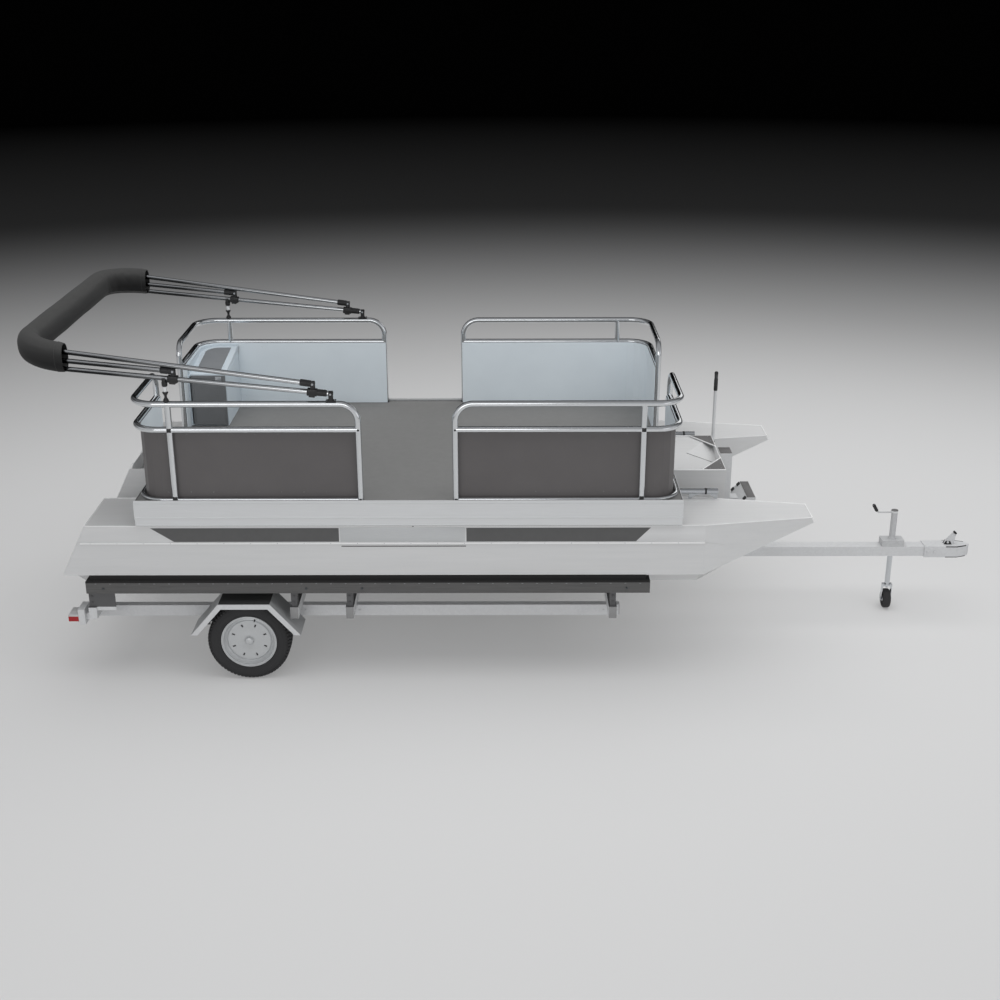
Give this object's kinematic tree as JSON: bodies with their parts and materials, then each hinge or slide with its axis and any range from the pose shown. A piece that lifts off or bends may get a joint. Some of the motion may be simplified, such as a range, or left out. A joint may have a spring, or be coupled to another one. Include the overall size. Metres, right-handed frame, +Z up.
{
  "type": "pontoon boat on a road trailer",
  "caption": "Small twin-hull pontoon boat with a fenced deck and a folded bimini, carried on a single-axle bunk trailer that parks on its wheels and jockey wheel.",
  "frame": {"origin": "on the ground, under the middle of the whole length and width", "axes": "+X forward to the trailer's coupling and the boat's bow, +Y to port, +Z up"},
  "size_m": [6.7362, 2.4, 2.4482],
  "materials": {
    "fence_tube": "bright anodised round tube",
    "fence_sheet": "satin dark grey painted sheet",
    "hull_aluminium": "mill-finish rolled sheet",
    "deck_vinyl": "woven grey vinyl floor covering",
    "trim_aluminium": "satin anodised extrusion",
    "black_plastic": "moulded nylon fitting",
    "boot_cloth": "woven acrylic canvas",
    "galvanised_steel": "hot-dip galvanised",
    "bunk_carpet": "needle-punched carpet over a plank",
    "wheel_paint": "silver painted pressed steel",
    "tyre_rubber": "vulcanised rubber",
    "red_lens": "moulded red acrylic"
  },
  "bodies": {
    "boat_on_trailer": {"fence_frame_starboard_aft": "fence_tube", "fence_frame_starboard_fore": "fence_tube", "fence_frame_port_aft": "fence_tube", "fence_frame_port_fore": "fence_tube", "fence_panel_starboard_aft": "fence_sheet", "fence_panel_starboard_fore": "fence_sheet", "fence_panel_port_aft": "fence_sheet", "fence_panel_port_fore": "fence_sheet", "pod_gusset_starboard": "fence_sheet", "pod_gusset_port": "fence_sheet", "pontoon_starboard": "hull_aluminium", "pontoon_port": "hull_aluminium", "bow_pod": "hull_aluminium", "stern_pod": "hull_aluminium", "deck_channels": "hull_aluminium", "deck": "deck_vinyl", "fascia_starboard": "trim_aluminium", "fascia_port": "trim_aluminium", "end_trim_aft": "trim_aluminium", "end_trim_fore": "trim_aluminium", "light_pole": "trim_aluminium", "brace_tube_starboard": "trim_aluminium", "brace_tube_port": "trim_aluminium", "corner_locker": "trim_aluminium", "all_round_light": "black_plastic", "deck_hinge_starboard": "black_plastic", "deck_hinge_port": "black_plastic", "bimini_prop_starboard": "black_plastic", "bimini_prop_port": "black_plastic", "trailer_frame": "galvanised_steel", "axle": "galvanised_steel", "leaf_spring_starboard": "galvanised_steel", "leaf_spring_port": "galvanised_steel", "mudguard_starboard": "galvanised_steel", "mudguard_port": "galvanised_steel", "winch_post": "galvanised_steel", "winch": "galvanised_steel", "coupling": "galvanised_steel", "coupling_lever": "galvanised_steel", "jack_tube": "galvanised_steel", "bunk_starboard_inner": "bunk_carpet", "bunk_starboard_outer": "bunk_carpet", "bunk_port_inner": "bunk_carpet", "bunk_port_outer": "bunk_carpet", "tail_lamp_starboard": "red_lens", "tail_lamp_port": "red_lens"},
    "wheel_starboard": {"wheel_starboard": "wheel_paint", "tyre_starboard": "tyre_rubber"},
    "wheel_port": {"wheel_port": "wheel_paint", "tyre_port": "tyre_rubber"},
    "bimini": {"main_bow": "trim_aluminium", "middle_bow": "trim_aluminium", "aux_bow": "trim_aluminium", "canopy_boot": "boot_cloth"},
    "locker_door": {"locker_door": "fence_sheet"},
    "jack_leg": {"jack_leg": "galvanised_steel"},
    "jockey_fork": {"jockey_fork": "galvanised_steel"},
    "jockey_wheel": {"jockey_wheel": "tyre_rubber"}
  },
  "joints": [
    {"name": "wheel_starboard_spin", "type": "hinge", "parent": "boat_on_trailer", "child": "wheel_starboard", "pos_m": [-1.942, -1.0675, 0.2875], "axis": [0, 1, 0], "continuous": true},
    {"name": "wheel_port_spin", "type": "hinge", "parent": "boat_on_trailer", "child": "wheel_port", "pos_m": [-1.942, 1.0675, 0.2875], "axis": [0, 1, 0], "continuous": true},
    {"name": "bimini_swing", "type": "hinge", "parent": "boat_on_trailer", "child": "bimini", "pos_m": [-1.298, 0, 2.07], "axis": [0, 1, 0], "range_deg": [0, 88]},
    {"name": "locker_door_hinge", "type": "hinge", "parent": "boat_on_trailer", "child": "locker_door", "pos_m": [-2.5714, 0.4967, 1.52], "axis": [0, 0, -1], "range_deg": [0, 90]},
    {"name": "jack_lift", "type": "slide", "parent": "boat_on_trailer", "child": "jack_leg", "axis": [0, 0, 1], "range_m": [-0.04, 0.23]},
    {"name": "jockey_swivel", "type": "hinge", "parent": "jack_leg", "child": "jockey_fork", "pos_m": [2.778, 0, 0.19], "axis": [0, 0, 1], "continuous": true},
    {"name": "jockey_wheel_spin", "type": "hinge", "parent": "jockey_fork", "child": "jockey_wheel", "pos_m": [2.778, 0, 0.075], "axis": [1, 0, 0], "continuous": true}
  ]
}
